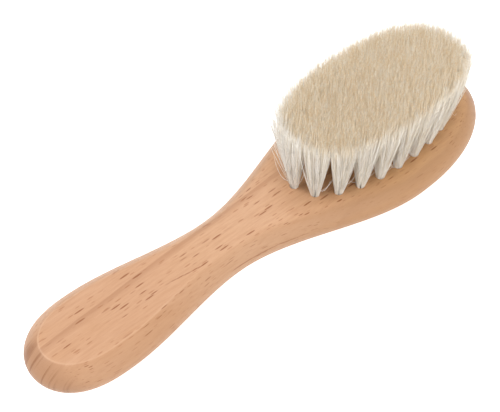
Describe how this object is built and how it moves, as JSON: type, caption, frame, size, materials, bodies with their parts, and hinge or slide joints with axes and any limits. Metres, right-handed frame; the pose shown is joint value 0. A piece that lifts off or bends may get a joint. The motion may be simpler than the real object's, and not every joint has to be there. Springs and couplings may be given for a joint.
{
  "type": "clothes brush",
  "caption": "Flat-backed wooden hand brush with a waisted handle and an oval field of soft trimmed hair tufts on its head.",
  "frame": {"origin": "on the flat back face, at the middle of the brush's length and width", "axes": "+X along the brush towards the tip of the head, +Y across it, +Z from the back up through the hair"},
  "size_m": [0.17, 0.048, 0.035],
  "materials": {
    "beech": "satin, lightly waxed beech",
    "goat_hair": "soft undyed goat hair",
    "anchor_wire": "flattened wire"
  },
  "bodies": {
    "root": {"wood_body": "beech", "tuft_outer_1": "goat_hair", "tuft_outer_2": "goat_hair", "tuft_outer_3": "goat_hair", "tuft_outer_4": "goat_hair", "tuft_outer_5": "goat_hair", "tuft_outer_6": "goat_hair", "tuft_outer_7": "goat_hair", "tuft_outer_8": "goat_hair", "tuft_outer_9": "goat_hair", "tuft_outer_10": "goat_hair", "tuft_outer_11": "goat_hair", "tuft_outer_12": "goat_hair", "tuft_outer_13": "goat_hair", "tuft_outer_14": "goat_hair", "tuft_outer_15": "goat_hair", "tuft_outer_16": "goat_hair", "tuft_outer_17": "goat_hair", "tuft_outer_18": "goat_hair", "tuft_outer_19": "goat_hair", "tuft_outer_20": "goat_hair", "tuft_outer_21": "goat_hair", "tuft_inner_1": "goat_hair", "tuft_inner_2": "goat_hair", "tuft_inner_3": "goat_hair", "tuft_inner_4": "goat_hair", "tuft_inner_5": "goat_hair", "tuft_inner_6": "goat_hair", "tuft_inner_7": "goat_hair", "tuft_inner_8": "goat_hair", "tuft_inner_9": "goat_hair", "tuft_inner_10": "goat_hair", "tuft_inner_11": "goat_hair", "tuft_inner_12": "goat_hair", "tuft_inner_13": "goat_hair", "tuft_inner_14": "goat_hair", "tuft_middle_1": "goat_hair", "tuft_middle_2": "goat_hair", "tuft_middle_3": "goat_hair", "tuft_middle_4": "goat_hair", "tuft_middle_5": "goat_hair", "anchors_outer": "anchor_wire", "anchors_inner": "anchor_wire", "anchors_middle": "anchor_wire"}
  },
  "joints": []
}
